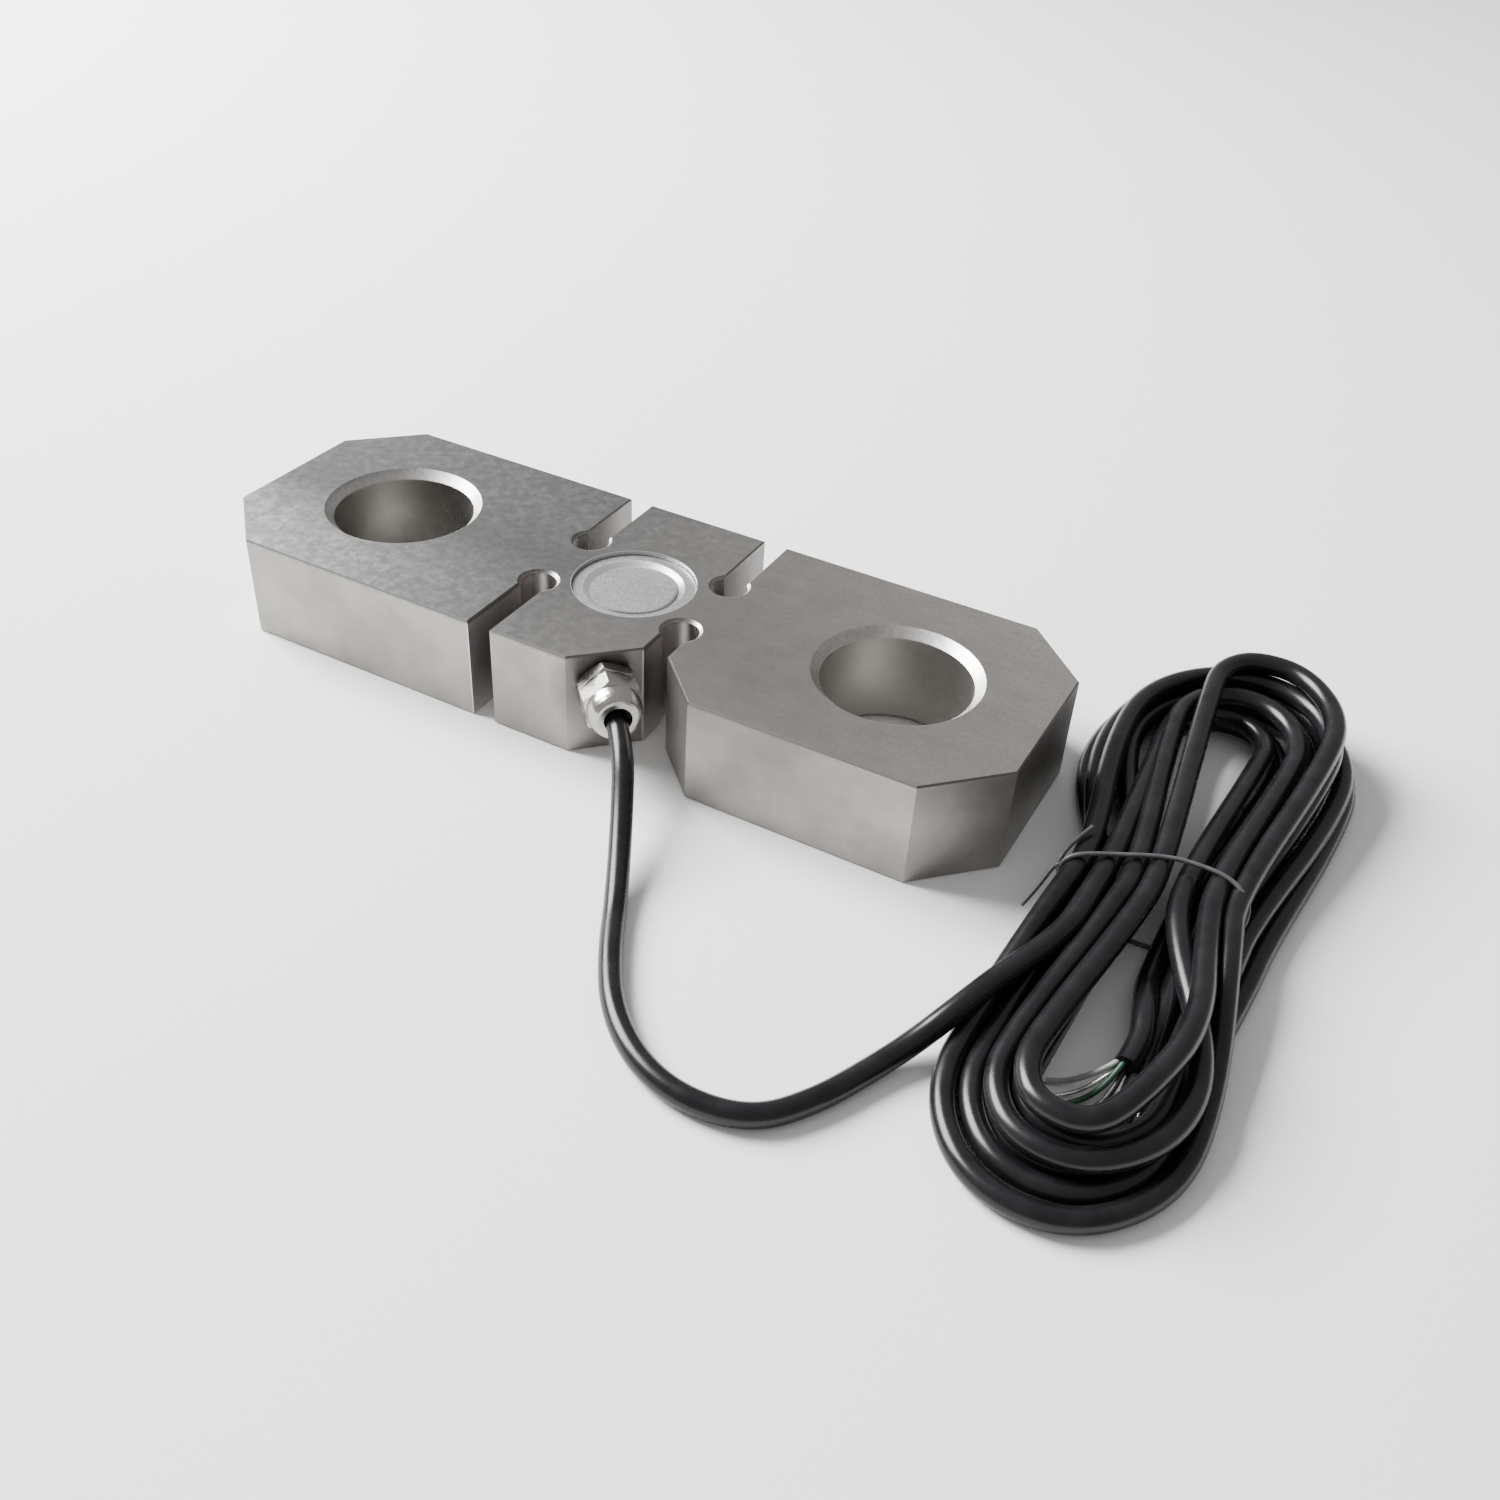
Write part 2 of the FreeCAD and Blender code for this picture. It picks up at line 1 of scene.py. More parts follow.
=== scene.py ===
import bpy
import math
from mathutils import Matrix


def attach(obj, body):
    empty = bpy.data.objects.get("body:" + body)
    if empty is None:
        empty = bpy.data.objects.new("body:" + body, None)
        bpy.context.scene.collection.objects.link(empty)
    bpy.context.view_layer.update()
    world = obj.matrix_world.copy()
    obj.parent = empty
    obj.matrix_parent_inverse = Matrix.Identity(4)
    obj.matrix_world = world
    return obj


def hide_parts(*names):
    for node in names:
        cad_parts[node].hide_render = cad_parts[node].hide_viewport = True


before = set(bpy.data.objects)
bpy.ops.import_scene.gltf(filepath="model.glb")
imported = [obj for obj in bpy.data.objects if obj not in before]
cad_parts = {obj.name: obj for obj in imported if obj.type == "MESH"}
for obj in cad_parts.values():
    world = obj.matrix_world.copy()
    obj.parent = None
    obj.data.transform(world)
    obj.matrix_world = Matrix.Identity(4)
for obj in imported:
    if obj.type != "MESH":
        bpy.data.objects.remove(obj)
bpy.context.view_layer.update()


# Sensor plate: one block of alloy steel, milled to its outline, slotted and bored, then ground and
# given a thin satin nickel plate. Its edges are broken by hand and its two eyes are countersunk.
def add_node(tree, kind, settings=None, **sockets):
    """A shader node with its settings and the plain values of its sockets."""
    node = tree.nodes.new(kind)
    for name, value in (settings or {}).items():
        setattr(node, name, value)
    for name, value in sockets.items():
        node.inputs[name.replace("_", " ")].default_value = value
    return node


def surface_variation():
    """Group that gives broad clouds and a fine grain over a surface, each from 0 to 1."""
    group = bpy.data.node_groups.new("surface_variation", "ShaderNodeTree")
    for name, way, kind in (
        ("Vector", "INPUT", "NodeSocketVector"),
        ("Cloud Scale", "INPUT", "NodeSocketFloat"),
        ("Grain Scale", "INPUT", "NodeSocketFloat"),
        ("Clouds", "OUTPUT", "NodeSocketFloat"),
        ("Grain", "OUTPUT", "NodeSocketFloat"),
    ):
        group.interface.new_socket(name, in_out=way, socket_type=kind)
    entry = group.nodes.new("NodeGroupInput")
    leave = group.nodes.new("NodeGroupOutput")
    for name, scale, detail, roughness in (
        ("Clouds", "Cloud Scale", 5.0, 0.62),
        ("Grain", "Grain Scale", 3.0, 0.55),
    ):
        pattern = add_node(group, "ShaderNodeTexNoise", Detail=detail, Roughness=roughness)
        contrast = add_node(group, "ShaderNodeMapRange", From_Min=0.3, From_Max=0.7)
        group.links.new(entry.outputs["Vector"], pattern.inputs["Vector"])
        group.links.new(entry.outputs[scale], pattern.inputs["Scale"])
        group.links.new(pattern.outputs["Fac"], contrast.inputs["Value"])
        group.links.new(contrast.outputs["Result"], leave.inputs[name])
    return group


variation_group = surface_variation()


def object_place(tree):
    """Place on a piece, in the part's own coordinates."""
    return tree.nodes.new("ShaderNodeTexCoord").outputs["Object"]


def new_material(name, metallic, cloud_scale, grain_scale):
    """A material with its surface shader and the variation group on Object coordinates."""
    material = bpy.data.materials.new(name)
    material.use_nodes = True
    tree = material.node_tree
    surface = tree.nodes["Principled BSDF"]
    surface.inputs["Metallic"].default_value = metallic
    variation = add_node(tree, "ShaderNodeGroup", {"node_tree": variation_group},
                         Cloud_Scale=cloud_scale, Grain_Scale=grain_scale)
    tree.links.new(object_place(tree), variation.inputs["Vector"])
    return material, tree, surface, variation


def blend(tree, factor, first, second):
    """Mixes two colours, or colour outputs, by a factor."""
    mix = tree.nodes.new("ShaderNodeMix")
    mix.data_type = "RGBA"
    tree.links.new(factor, mix.inputs[0])
    colour_sockets = (mix.inputs[6], mix.inputs[7])
    for socket, colour in zip(colour_sockets, (first, second)):
        if isinstance(colour, tuple):
            socket.default_value = (*colour, 1.0)
        else:
            tree.links.new(colour, socket)
    return mix.outputs[2]


def spread(tree, value, low, high, start=0.0, stop=1.0):
    """Carries a value between start and stop over to the span from low to high."""
    node = add_node(tree, "ShaderNodeMapRange", From_Min=start, From_Max=stop, To_Min=low, To_Max=high)
    tree.links.new(value, node.inputs["Value"])
    return node.outputs["Result"]


def rising(tree, value, start, stop):
    """Mask that rises from 0 to 1 between start and stop."""
    return spread(tree, value, 0.0, 1.0, start, stop)


def falling(tree, value, start, stop):
    """Mask that falls from 1 to 0 between start and stop."""
    return spread(tree, value, 1.0, 0.0, start, stop)


def work_out(tree, operation, *terms):
    """Result of a sum on outputs or plain numbers."""
    node = add_node(tree, "ShaderNodeMath", {"operation": operation})
    for socket, term in zip(node.inputs, terms):
        if isinstance(term, float):
            socket.default_value = term
        else:
            tree.links.new(term, socket)
    return node.outputs["Value"]


def both(tree, first, second):
    """Mask of what two masks share."""
    return work_out(tree, "MULTIPLY", first, second)


def axes(tree, place):
    """X, Y and Z of a place on a piece."""
    split = tree.nodes.new("ShaderNodeSeparateXYZ")
    tree.links.new(place, split.inputs["Vector"])
    return split.outputs["X"], split.outputs["Y"], split.outputs["Z"]


def hole_place(tree, x, y, hole):
    """Radius and X from the nearest of the upright holes that stand evenly about the middle."""
    offset = tree.nodes.new("ShaderNodeCombineXYZ")
    from_hole = []
    for axis, value, hole_middle in (("X", x, hole[0]), ("Y", y, hole[1])):
        side = work_out(tree, "SIGN", value)
        nearest = work_out(tree, "MULTIPLY", side, hole_middle)
        from_hole.append(work_out(tree, "SUBTRACT", value, nearest))
        tree.links.new(from_hole[-1], offset.inputs[axis])
    length = add_node(tree, "ShaderNodeVectorMath", {"operation": "LENGTH"})
    tree.links.new(offset.outputs["Vector"], length.inputs[0])
    return length.outputs["Value"], from_hole[0]


def distance(tree, place, spot):
    """Distance of a place on a piece from a spot."""
    node = add_node(tree, "ShaderNodeVectorMath", {"operation": "DISTANCE"})
    node.inputs[1].default_value = spot
    tree.links.new(place, node.inputs[0])
    return node.outputs["Value"]


def noise(tree, vector, scale, detail, roughness):
    """Cloudy noise over a vector."""
    node = add_node(tree, "ShaderNodeTexNoise", Scale=scale, Detail=detail, Roughness=roughness)
    tree.links.new(vector, node.inputs["Vector"])
    return node.outputs["Fac"]


def roughen(tree, surface, height, depth, strength):
    """Gives the surface a shallow relief from a height."""
    relief = add_node(tree, "ShaderNodeBump", Strength=strength, Distance=depth)
    tree.links.new(height, relief.inputs["Height"])
    tree.links.new(relief.outputs["Normal"], surface.inputs["Normal"])


def dress(node_name, material):
    """Gives a CAD node its finished material."""
    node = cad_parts[node_name]
    node.data.materials.clear()
    node.data.materials.append(material)


plate_top = 0.03
eye_middle = (0.079, 0.0)
slot_end_middle = (0.0225, 0.013)
slot_left_wall = -0.0035
wall_tolerance = 0.0003
gland_mouth = (0.0175, -0.0385, 0.02)
# Grey of the painted shade on the left of the top.
painted_shade_grey = (0.1, 0.099, 0.097)
# Light grey painted over the shade of walls that face away from the light.
painted_light_grey = (0.62, 0.575, 0.58)

plate_steel, tree, surface, variation = new_material(
    "plate_steel", metallic=1.0, cloud_scale=110.0, grain_scale=800.0,
)
clouds = variation.outputs["Clouds"]
grain = variation.outputs["Grain"]
place = object_place(tree)
x, y, z = axes(tree, place)
right_end = rising(tree, x, -0.02, 0.05)
on_top = rising(tree, z, 0.0285, 0.0297)
off_centre = distance(tree, place, (0.0, 0.0, plate_top))
eye_radius, eye_x = hole_place(tree, x, y, eye_middle)
slot_radius, slot_x = hole_place(tree, x, y, slot_end_middle)

# The countersunk rims of the eyes are a little bright from the tool, and they and the rims of the
# slots' round ends are painted brighter toward their right, a painted highlight where they face the
# light.
eye_rims = both(tree, falling(tree, eye_radius, 0.02245, 0.0226), rising(tree, z, 0.0272, 0.0278))
slot_rims = both(tree, falling(tree, slot_radius, 0.0058, 0.00595), rising(tree, z, 0.029, 0.0293))
any_rim = work_out(tree, "MAXIMUM", eye_rims, slot_rims)
eye_rim_highlight = both(tree, eye_rims, spread(tree, eye_x, 0.25, 1.0, -0.014, 0.008))
slot_rim_highlight = both(tree, slot_rims, spread(tree, slot_x, 0.0, 0.9, 0.0, 0.004))
rim_highlight = work_out(tree, "MAXIMUM", eye_rim_highlight, slot_rim_highlight)
tool_bright_and_highlight = blend(tree, grain, (0.62, 0.61, 0.6), (0.95, 0.94, 0.93))

# The left of the top is cool and mottled, and is painted darker toward the middle and along its
# far side, a painted shade for the fall of the light.
flecks = noise(tree, place, scale=380.0, detail=5.0, roughness=0.66)
dark_flecks = spread(tree, flecks, 0.62, 0.0, 0.39, 0.54)
lit_flecks = spread(tree, flecks, 0.0, 0.62, 0.54, 0.69)
clouded = blend(tree, clouds, (0.235, 0.233, 0.23), (0.345, 0.342, 0.338))
flecked = blend(tree, dark_flecks, clouded, (0.15, 0.148, 0.146))
speckled = blend(tree, lit_flecks, flecked, (0.46, 0.457, 0.452))
middle_shade = spread(tree, x, 0.0, 0.62, -0.1, -0.02)
middle_shaded_tone = blend(tree, middle_shade, speckled, painted_shade_grey)
far_shade = spread(tree, y, 0.75, 0.53, 0.0, 0.022)
far_shaded_tone = blend(tree, far_shade, speckled, painted_shade_grey)
far_side = rising(tree, y, -0.026, -0.003)
cool_tone = blend(tree, far_side, middle_shaded_tone, far_shaded_tone)

# The right of the top is warmer and ground along its length, and is painted brighter toward its far
# corner, a painted sheen.
stretched = add_node(tree, "ShaderNodeMapping", Scale=(45.0, 520.0, 160.0))
tree.links.new(place, stretched.inputs["Vector"])
grinding = noise(tree, stretched.outputs["Vector"], scale=1.0, detail=4.0, roughness=0.6)
ground = rising(tree, grinding, 0.3, 0.7)
warm = blend(tree, ground, (0.224, 0.211, 0.197), (0.243, 0.23, 0.215))
warm_sheen_tone = blend(tree, ground, (0.437, 0.411, 0.384), (0.474, 0.449, 0.419))
right_sheen = spread(tree, x, 0.0, 0.62, 0.05, 0.115)
far_sheen = spread(tree, y, 0.0, 0.45, -0.02, 0.036)
warm_lit = blend(tree, work_out(tree, "ADD", right_sheen, far_sheen), warm, warm_sheen_tone)
warm_grained = blend(tree, spread(tree, grain, 0.25, 0.0), warm_lit, (0.15, 0.142, 0.134))
top_tone = blend(tree, right_end, cool_tone, warm_grained)

# The sides are stained, and the right eye's bore is a little brighter.
staining = noise(tree, place, scale=48.0, detail=4.0, roughness=0.55)
stains = rising(tree, staining, 0.36, 0.62)
side_stained = blend(tree, stains, (0.25, 0.237, 0.221), (0.335, 0.319, 0.299))
side_tone = blend(tree, spread(tree, grain, 0.14, 0.0), side_stained, (0.19, 0.18, 0.168))
right_bore = both(tree, falling(tree, eye_radius, 0.0201, 0.0203), right_end)
bored_tone = blend(tree, right_bore, side_tone, (0.38, 0.364, 0.343))

# The left walls of the near slots, the left of the slots' round ends and the wall of the cover's
# seat face away from the light and are painted light over their shade; the walls of the far slots
# are painted darker, a painted shade.
slot_wall = work_out(tree, "COMPARE", slot_x, slot_left_wall, wall_tolerance)
far_slots = rising(tree, y, -0.004, 0.004)
slot_wall_light_and_shade = blend(tree, far_slots, painted_light_grey, (0.2, 0.186, 0.175))
walled_tone = blend(tree, slot_wall, bored_tone, slot_wall_light_and_shade)
slot_end = both(tree, falling(tree, slot_radius, 0.00502, 0.00508), falling(tree, slot_x, -0.002, 0.0))
slot_end_lit_tone = blend(tree, slot_end, walled_tone, painted_light_grey)
seat_wall = falling(tree, off_centre, 0.01735, 0.0176)
seat_tone = blend(tree, seat_wall, slot_end_lit_tone, (0.66, 0.65, 0.64))

# The face round the gland is painted darker, a painted shadow of the gland together with dirt.
gland_shade_and_dirt = spread(tree, distance(tree, place, gland_mouth), 0.85, 0.0, 0.0085, 0.019)
gland_shaded_tone = blend(tree, gland_shade_and_dirt, seat_tone, (0.06, 0.055, 0.05))
off_seat = both(tree, on_top, rising(tree, off_centre, 0.0172, 0.0174))
plain_tone = blend(tree, off_seat, gland_shaded_tone, top_tone)

# The broken edges have dulled, and are painted darker along their length, a painted shade that is
# deepest on the near edges and on the relief beside the gland.
edge_band = both(tree, rising(tree, z, 0.0293, 0.0296), falling(tree, z, 0.02994, 0.02999))
clear_of_rims = falling(tree, any_rim, 0.0, 1.0)
clear_of_seat = rising(tree, off_centre, 0.0185, 0.0195)
edge = both(tree, both(tree, edge_band, clear_of_rims), clear_of_seat)
far_edges = rising(tree, y, -0.01, 0.01)
edge_shade_tone = blend(tree, far_edges, (0.14, 0.135, 0.128), (0.21, 0.203, 0.193))
relief_span = both(tree, rising(tree, x, 0.0255, 0.026), falling(tree, x, 0.0405, 0.041))
relief_edge = both(tree, relief_span, falling(tree, y, -0.0255, -0.025))
relief_edge_shade_tone = blend(tree, relief_edge, edge_shade_tone, (0.05, 0.048, 0.046))
edged_tone = blend(tree, edge, plain_tone, relief_edge_shade_tone)

tree.links.new(blend(tree, rim_highlight, edged_tone, tool_bright_and_highlight), surface.inputs["Base Color"])
dullness = work_out(tree, "MAXIMUM", spread(tree, clouds, 0.44, 0.4), spread(tree, edge, 0.0, 0.75))
tree.links.new(dullness, surface.inputs["Roughness"])
roughen(tree, surface, both(tree, flecks, on_top), depth=0.00008, strength=0.14)
dress("sensor_body", plate_steel)


# Strain gauges: etched foil grids on amber polyimide film, bonded to both sides of the thin web
# between the pockets.
gauge_film, tree, surface, variation = new_material(
    "gauge_film", metallic=0.0, cloud_scale=400.0, grain_scale=2500.0,
)
grid = add_node(tree, "ShaderNodeTexWave", {"wave_type": "BANDS", "bands_direction": "X"}, Scale=900.0)
tree.links.new(object_place(tree), grid.inputs["Vector"])
foil = rising(tree, grid.outputs["Fac"], 0.45, 0.55)
film = blend(tree, variation.outputs["Clouds"], (0.52, 0.33, 0.09), (0.66, 0.45, 0.16))
tree.links.new(blend(tree, foil, film, (0.58, 0.47, 0.36)), surface.inputs["Base Color"])
tree.links.new(spread(tree, foil, 0.45, 0.3), surface.inputs["Roughness"])
roughen(tree, surface, foil, depth=0.00002, strength=0.3)
for gauge in ("gauge_top_axial", "gauge_top_cross", "gauge_bottom_axial", "gauge_bottom_cross"):
    dress(gauge, gauge_film)


# Bridge board: a small terminal board of green glass-filled laminate, stuck to the pocket floor.
# The weave of the glass cloth shows faintly through its resin.
board_laminate, tree, surface, variation = new_material(
    "board_laminate", metallic=0.0, cloud_scale=300.0, grain_scale=2500.0,
)
weave = add_node(tree, "ShaderNodeTexChecker", Scale=2200.0)
tree.links.new(object_place(tree), weave.inputs["Vector"])
resin = blend(tree, variation.outputs["Clouds"], (0.055, 0.22, 0.095), (0.085, 0.29, 0.13))
faint_weave = spread(tree, weave.outputs["Fac"], 0.0, 0.25)
tree.links.new(blend(tree, faint_weave, resin, (0.13, 0.34, 0.18)), surface.inputs["Base Color"])
tree.links.new(spread(tree, variation.outputs["Grain"], 0.3, 0.42), surface.inputs["Roughness"])
roughen(tree, surface, weave.outputs["Fac"], depth=0.00002, strength=0.2)
dress("bridge_board", board_laminate)


# Gauge wires: fine enamelled copper, soldered from the gauges' tabs to the terminal board, the
# lower set through a small hole in the web.
def plain_finish(name, metallic, scales, tones, roughness, relief=None):
    """A finish clouded between two tones, grained between two values of roughness."""
    material, tree, surface, variation = new_material(name, metallic, *scales)
    tree.links.new(blend(tree, variation.outputs["Clouds"], *tones), surface.inputs["Base Color"])
    tree.links.new(spread(tree, variation.outputs["Grain"], *roughness), surface.inputs["Roughness"])
    if relief:
        pattern, depth, strength = relief
        roughen(tree, surface, variation.outputs[pattern], depth, strength)
    return material


enamelled_wire = plain_finish(
    "enamelled_wire", metallic=1.0, scales=(500.0, 3000.0),
    tones=((0.52, 0.21, 0.07), (0.68, 0.33, 0.13)), roughness=(0.2, 0.34),
)
dress("gauge_wires_top", enamelled_wire)
dress("gauge_wires_bottom", enamelled_wire)


# Inner leads: the cable's four insulated cores, stripped of their jacket behind the gland and
# soldered to the terminal board. Their insulation is smooth and extruded.
insulations = {}
# Painted shade: these tones are darker and greyer than clean insulation, for the shadow at the cable
# end.
for colour, tones in (
    ("red", ((0.2, 0.011, 0.011), (0.3, 0.022, 0.02))),
    ("black", ((0.012, 0.012, 0.012), (0.03, 0.03, 0.03))),
    ("green", ((0.018, 0.065, 0.034), (0.034, 0.1, 0.056))),
    ("white", ((0.37, 0.375, 0.36), (0.48, 0.485, 0.47))),
):
    insulations[colour] = plain_finish(
        colour + "_insulation", metallic=0.0, scales=(220.0, 2600.0),
        tones=tones, roughness=(0.28, 0.4), relief=("Grain", 0.00003, 0.15),
    )
    dress("inner_lead_" + colour, insulations[colour])


# Cover discs: thin stainless sheet, pressed to a shallow dish with a rolled rim and glued into the
# seats of the gauge pockets, one on each face. The slope is painted bright on its left, a painted
# highlight, and painted dark on its right, a painted shade.
cover_middle = (0.0, 0.0)
cover_sheet, tree, surface, variation = new_material(
    "cover_sheet", metallic=1.0, cloud_scale=160.0, grain_scale=1900.0,
)
grain = variation.outputs["Grain"]
x, y = axes(tree, object_place(tree))[:2]
cover_radius, cover_x = hole_place(tree, x, y, cover_middle)
pressed = blend(tree, variation.outputs["Clouds"], (0.42, 0.42, 0.42), (0.5, 0.5, 0.5))
slope = both(tree, rising(tree, cover_radius, 0.0119, 0.0125),
             falling(tree, cover_radius, 0.0137, 0.0143))
# Painted highlight on the left of the slope, and painted shade on its right.
slope_highlight = both(tree, slope, falling(tree, cover_x, -0.008, 0.003))
slope_highlight_tone = blend(tree, slope_highlight, pressed, (0.74, 0.74, 0.74))
slope_shade_side = both(tree, rising(tree, cover_x, 0.003, 0.008), falling(tree, y, 0.0078, 0.011))
slope_shaded_tone = blend(tree, both(tree, slope, slope_shade_side), slope_highlight_tone, (0.2, 0.2, 0.2))

# The crease round the flat is painted dark on its right, a painted shade.
crease = both(tree, rising(tree, cover_radius, 0.0108, 0.0117),
              falling(tree, cover_radius, 0.0128, 0.0134))
crease_shade_side = both(tree, rising(tree, cover_x, -0.003, 0.003), falling(tree, y, 0.0035, 0.0085))
crease_shaded_tone = blend(tree, both(tree, crease, crease_shade_side), slope_shaded_tone, (0.13, 0.13, 0.13))
tree.links.new(crease_shaded_tone, surface.inputs["Base Color"])
tree.links.new(spread(tree, grain, 0.36, 0.5), surface.inputs["Roughness"])
roughen(tree, surface, grain, depth=0.00005, strength=0.2)
dress("top_cover", cover_sheet)
dress("bottom_cover", cover_sheet)


# Cable gland: body and domed nut turned from brass hexagon bar and bright nickel plated, a flat seal
# under the hexagon, and inside the nut a slotted nylon claw that presses a rubber bush on the cable.
gland_rubber = plain_finish(
    "gland_rubber", metallic=0.0, scales=(250.0, 1800.0),
    tones=((0.012, 0.012, 0.012), (0.028, 0.028, 0.028)), roughness=(0.5, 0.68),
    relief=("Grain", 0.00005, 0.25),
)
dress("gland_gasket", gland_rubber)
dress("gland_seal", gland_rubber)
gland_nickel = plain_finish(
    "gland_nickel", metallic=1.0, scales=(220.0, 1500.0),
    tones=((0.36, 0.344, 0.32), (0.48, 0.463, 0.436)), roughness=(0.16, 0.28),
    relief=("Clouds", 0.0001, 0.12),
)
dress("gland_body", gland_nickel)
dress("gland_nut", gland_nickel)
gland_nylon = plain_finish(
    "gland_nylon", metallic=0.0, scales=(200.0, 1600.0),
    tones=((0.62, 0.62, 0.6), (0.74, 0.74, 0.72)), roughness=(0.42, 0.55),
)
dress("gland_claw", gland_nylon)


# Signal cable: four cores and a screen in a round black jacket, clamped in the gland. It drops to
# the floor, swings round in one bow and is wound by hand into a flat hank, pinched at its waist.
cable_diameter = 0.0056
mm_in_m = 1000
cable_route = [
    (12.46, -33.46, 20.0),
    (27.66, -48.66, 20.0),
    (37.5, -65.0, 9.0),
    (47.5, -83.0, 2.8),
    (56.5, -100.0, 2.8),
    (66.0, -113.5, 2.8),
    (78.8, -123.2, 2.8),
    (92.5, -126.6, 2.8),
    (106.5, -123.5, 2.8),
    (115.0, -112.5, 2.8),
    (121.0, -99.5, 2.8),
    (126.3, -88.6, 4.4),
    (131.2, -80.6, 9.0),
    (136.1, -67.6, 10.8),
    (141.2, -56.5, 11.9),
    (144.6, -45.0, 12.7),
]

# Each turn in millimetres: left waist, upper loop, right waist and lower loop. A waist is its X above
# and below the tie and its height. A loop is the X of its left leg, right leg and end, the Y of its
# end, the heights of its two legs, how far it is drawn out, and how far its right leg leans in.
upper_waist_y = -17.0
lower_waist_y = -35.0
hank_turns = [
    ((145.6, 144.9, 12.8), (141.2, 166.4, 153.6, 61.0, 7.9, 7.9, 1.0, 0.0),
     (162.6, 165.4, 12.0), (144.8, 182.6, 160.5, -104.6, 8.0, 9.0, 1.15, 0.0)),
    ((151.7, 151.2, 12.9), (142.9, 174.6, 157.0, 63.8, 13.2, 13.2, 1.15, 0.0),
     (169.4, 172.4, 13.8), (150.3, 178.6, 160.0, -99.8, 14.2, 14.8, 1.35, 4.4)),
    ((157.0, 156.3, 13.6), (147.8, 181.6, 159.5, 76.4, 18.3, 18.3, 1.2, 0.0),
     (174.4, 178.0, 12.8), (134.4, 186.0, 159.8, -115.6, 2.9, 2.9, 1.15, 0.0)),
    ((140.0, 138.2, 12.2), (131.4, 182.5, 160.0, 74.8, 12.8, 12.8, 1.15, 0.0),
     (174.6, 174.8, 5.2), (144.6, 174.9, 160.0, -103.2, 2.9, 2.9, 1.15, 0.0)),
    ((146.6, 145.8, 4.0), (125.6, 189.2, 160.0, 77.5, 2.9, 2.9, 1.15, 0.0),
     (184.2, 183.8, 2.9), (139.8, 180.6, 160.4, -109.0, 2.9, 2.9, 1.15, 0.0)),
    ((142.2, 141.0, 7.6), (128.2, 187.4, 160.0, 75.8, 7.9, 7.9, 1.15, 0.0),
     (179.4, 179.6, 5.6), (150.4, 177.8, 162.0, -98.8, 8.2, 7.3, 1.05, 0.0)),
    ((153.8, 152.8, 8.2), (133.6, 177.2, 158.0, 70.2, 7.5, 7.5, 1.15, 0.0),
     (169.0, 169.6, 7.0), (150.0, 171.2, 160.6, -97.6, 2.9, 2.9, 1.0, 0.0)),
    ((152.4, 151.6, 3.8), (140.2, 171.0, 156.0, 65.5, 2.9, 2.9, 1.15, 0.0),
     (163.8, 164.0, 4.4), None),
]
hank_end = [
    (164.2, -46.0, 4.8),
    (165.2, -52.0, 6.8),
    (167.0, -60.0, 8.2),
    (168.6, -67.0, 7.9),
    (167.7, -74.6, 7.4),
]
leg_reach = 1.5
shoulder_reach = 0.62
crown_reach = 0.42
settled_share = 0.8


def end_loop(loop, way, left_waist_z, right_waist_z):
    """Six points of one end of a turn, from its left leg round to its right leg."""
    left, right, end_x, end_y, left_z, right_z, stretch, lean = loop
    left_half = end_x - left
    right_half = right - end_x
    left_drawn = way * left_half * stretch
    right_drawn = way * right_half * stretch
    left_leg_z = settled_share * left_z + (1 - settled_share) * left_waist_z
    right_leg_z = settled_share * right_z + (1 - settled_share) * right_waist_z
    return [
        (left, end_y - leg_reach * left_drawn, left_leg_z),
        (left, end_y - shoulder_reach * left_drawn, left_z),
        (end_x - crown_reach * left_half, end_y, left_z),
        (end_x + crown_reach * right_half, end_y, right_z),
        (right - lean, end_y - shoulder_reach * right_drawn, right_z),
        (right, end_y - leg_reach * right_drawn, right_leg_z),
    ]


hank_points = []
for turn, (left_waist, upper, right_waist, lower) in enumerate(hank_turns):
    left_above, left_below, left_z = left_waist
    right_above, right_below, right_z = right_waist
    hank_points.append((left_below, lower_waist_y, left_z))
    hank_points.append((left_above, upper_waist_y, left_z))
    hank_points += end_loop(upper, 1, left_z, right_z)
    hank_points.append((right_above, upper_waist_y, right_z))
    hank_points.append((right_below, lower_waist_y, right_z))
    if lower:
        next_left_z = hank_turns[turn + 1][0][2]
        hank_points += reversed(end_loop(lower, -1, next_left_z, right_z))
hank_points += hank_end


def new_wire(name, diameter, roundness):
    """A round wire of a diameter in metres that has no runs yet, and its curve."""
    line = bpy.data.curves.new(name, "CURVE")
    line.dimensions = "3D"
    line.bevel_depth = diameter / 2
    line.bevel_resolution = roundness
    line.use_fill_caps = True
    wire = bpy.data.objects.new(name, line)
    bpy.context.collection.objects.link(wire)
    return wire, line


def add_run(line, points, fineness, closed=False):
    """Adds a smooth run along points in millimetres to a wire's curve."""
    run = line.splines.new("NURBS")
    run.points.add(len(points) - 1)
    for point, (x, y, z) in zip(run.points, points):
        point.co = (x / mm_in_m, y / mm_in_m, z / mm_in_m, 1.0)
    run.order_u = 3
    run.use_cyclic_u = closed
    run.use_endpoint_u = not closed
    run.resolution_u = fineness
    return run


